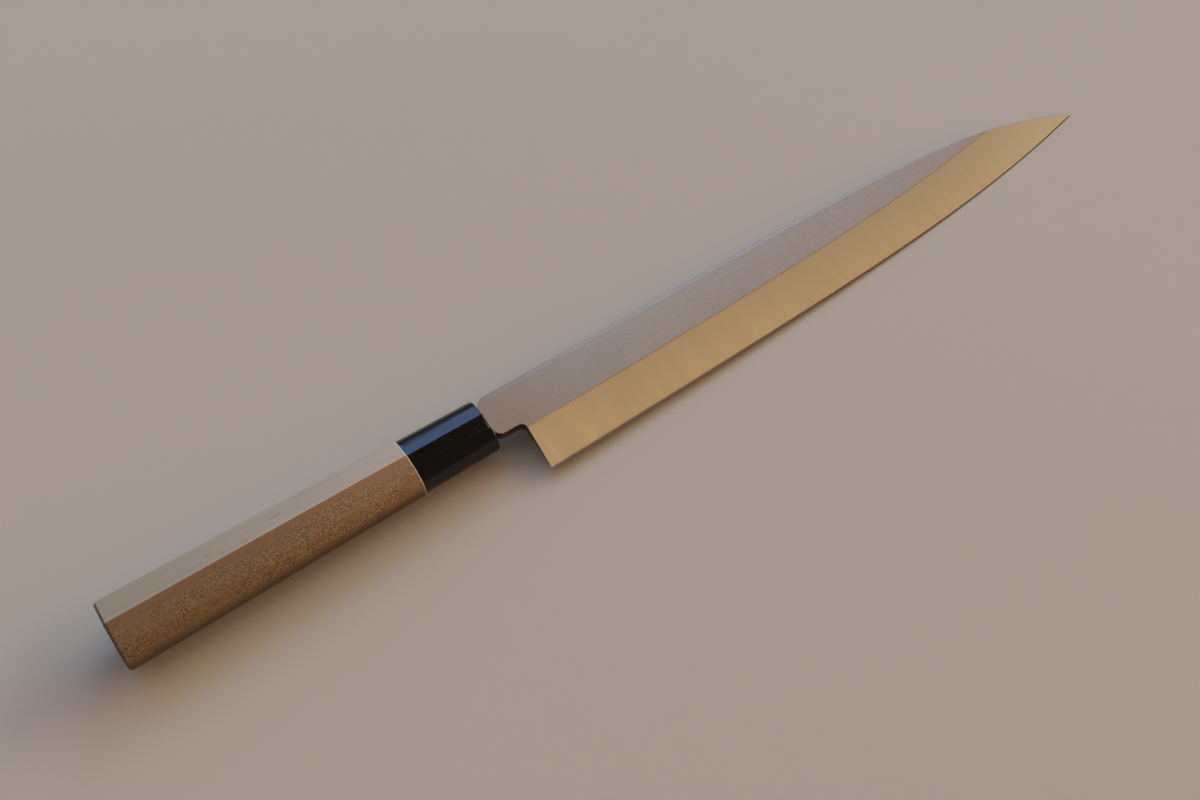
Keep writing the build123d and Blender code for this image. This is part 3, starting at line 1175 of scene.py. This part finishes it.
# %% [markdown]
# ## Floor and light
# The floor is plain and pale. Behind the knife stands a cool window of two panes, and the
# ferrule mirrors the upper one as its blue band. The rest is three far soft lights, warmer
# to the right. Near panels would do for one view, but they leave bright and dark patches on
# a wide floor, while far lights are the same all over it.

# %% The floor
floor_half = 8.0
floor_colour = (0.485, 0.465, 0.45, 1)
floor_roughness = 0.9


def plain_floor():
    """A square at height zero with a matt pale finish."""
    pale_floor = Finish(bpy.data.materials.new("pale_floor"))
    mesh = bpy.data.meshes.new("floor")
    corners = [(sx * floor_half, sy * floor_half, 0) for sx, sy in ((-1, -1), (1, -1), (1, 1), (-1, 1))]
    mesh.from_pydata(corners, [], [(0, 1, 2, 3)])
    mesh.materials.append(pale_floor.feed(floor_colour, floor_roughness))
    floor = bpy.data.objects.new("floor", mesh)
    bpy.context.scene.collection.objects.link(floor)
    return floor


plain_floor()
print("floor", 2 * floor_half, "m wide")

# %% The lamps
lamp_distance = 3.4


def hang_lamp(name, azimuth, elevation, colour, brightness, size):
    """A lamp that faces the knife from these angles. Two sizes make a near pane, so wide and
    high, of power brightness * pi * area. One makes a far light, so many degrees wide."""
    near = isinstance(size, tuple)
    data = bpy.data.lights.new(name, "AREA" if near else "SUN")
    data.color = colour
    lamp = bpy.data.objects.new(name, data)
    bpy.context.scene.collection.objects.link(lamp)
    across, up = math.radians(azimuth), math.radians(elevation)
    lamp.rotation_euler = (math.pi / 2 - up, 0, across + math.pi / 2)
    if near:
        level = math.cos(up)
        towards = Vector((level * math.cos(across), level * math.sin(across), math.sin(up)))
        lamp.location = towards * lamp_distance
        data.shape = "RECTANGLE"
        data.size, data.size_y = size
        data.energy = brightness * math.pi * size[0] * size[1]
    else:
        data.angle = math.radians(size)
        data.energy = brightness


hang_lamp("window_upper_pane", 70, 41.2, (0.30, 0.50, 1.0), 3.6, (4.4, 0.64))
hang_lamp("window_lower_pane", 70, 25.5, (0.50, 0.72, 1.0), 0.8, (4.4, 0.40))
hang_lamp("window_low_right", 42, 19, (0.86, 0.81, 0.84), 0.92, 34)
hang_lamp("lamp_right", 2, 12, (0.98, 0.965, 0.74), 2.5, 38)
hang_lamp("lamp_warm_right", -30, 20, (1.0, 0.43, 0.13), 1.3, 36)

# %% [markdown]
# ## The room round the knife
# Steel and polish show the room, so it matters as much as they do. A ramp from front to
# back makes it dark above the viewer, where the lower side of the ferrule looks, and warm
# overhead. Low on the right lies a golden stretch for the bevel. The camera sees a plain
# pale backdrop instead, and so does polish that looks low over the floor.

# %% The room's own light
room_stops = (
    (0.00, (0.15, 0.13, 0.11)),
    (0.30, (0.16, 0.13, 0.11)),
    (0.44, (0.14, 0.12, 0.10)),
    (0.50, (0.12, 0.10, 0.09)),
    (0.545, (0.36, 0.28, 0.18)),
    (0.585, (0.55, 0.40, 0.24)),
    (0.65, (0.60, 0.38, 0.18)),
    (0.71, (0.75, 0.98, 1.00)),
    (0.80, (0.18, 0.19, 0.22)),
    (1.00, (0.11, 0.11, 0.12)),
)
gold_stops = (
    (0.28, (4.60, 3.40, 1.92)),
    (0.38, (2.50, 1.83, 1.03)),
    (0.47, (1.32, 0.96, 0.55)),
    (0.58, (0.84, 0.61, 0.34)),
    (0.75, (0.50, 0.36, 0.19)),
)
backdrop_colour = (0.42, 0.385, 0.36, 1)


def ramp(share, stops):
    """The colour of the stops, pairs of place and colour, at this share."""
    colour = share.finish.node("ShaderNodeValToRGB", {}, {"Fac": share})
    elements = colour.socket.node.color_ramp.elements
    while len(elements) < len(stops):
        elements.new(1)
    for element, (place, shade) in zip(elements, stops):
        element.position = place
        element.color = (*shade, 1)
    return colour


def dress_room():
    """A ramp by how far back a direction points, gold low on the right, and the backdrop."""
    world = bpy.data.worlds.new("room")
    bpy.context.scene.world = world
    room = Finish(world)
    x, y, z = axes_of(room.node("ShaderNodeTexCoord", {}, {}, "Generated"))
    gold = between(x * 0.6 - y * 0.8, 0.185, 0.215) * between(y, -0.17, -0.09)
    gold = gold * between(x, 0.283, 0.303)
    shade = blend(gold, ramp(y * 0.5 + 0.5, room_stops), ramp(x, gold_stops))
    light = room.node("ShaderNodeBackground", {}, {"Color": shade})
    backdrop = room.node("ShaderNodeBackground", {}, {"Color": backdrop_colour})
    camera_ray = room.node("ShaderNodeLightPath", {}, {}, "Is Camera Ray")
    glossy_ray = Tone(room, camera_ray.socket.node.outputs["Is Glossy Ray"])
    shown = camera_ray.worked("MAXIMUM", camera_ray, glossy_ray * between(z, 0.10, 0.04))
    both = room.node("ShaderNodeMixShader", {}, {0: shown, 1: light, 2: backdrop})
    room.node("ShaderNodeOutputWorld", {}, {"Surface": both}, None)


dress_room()
print("room", bpy.context.scene.world.name)

# %% [markdown]
# ## The camera
# It stands where a person would who is about to pick the knife up. Its place, aim, roll and
# lens come from matching points of the knife to the picture, not from turning it by eye.

# %% The camera
eye = Vector((-0.17505, -0.24530, 0.38835))
aim = Vector((-0.02954, -0.00313, 0.0))
camera_roll = math.radians(-4.905)
focal_length = 40.28
sensor_width = 36.0

lens = bpy.data.cameras.new("camera")
lens.lens = focal_length
lens.sensor_width = sensor_width
camera = bpy.data.objects.new("camera", lens)
bpy.context.scene.collection.objects.link(camera)
level = (aim - eye).to_track_quat("-Z", "Y")
camera.rotation_mode = "QUATERNION"
camera.rotation_quaternion = level @ Quaternion((0, 0, 1), camera_roll)
camera.location = eye
bpy.context.scene.camera = camera
bpy.context.scene.view_settings.view_transform = "Standard"
print("camera", round(eye.length, 3), "m from the knife's middle")
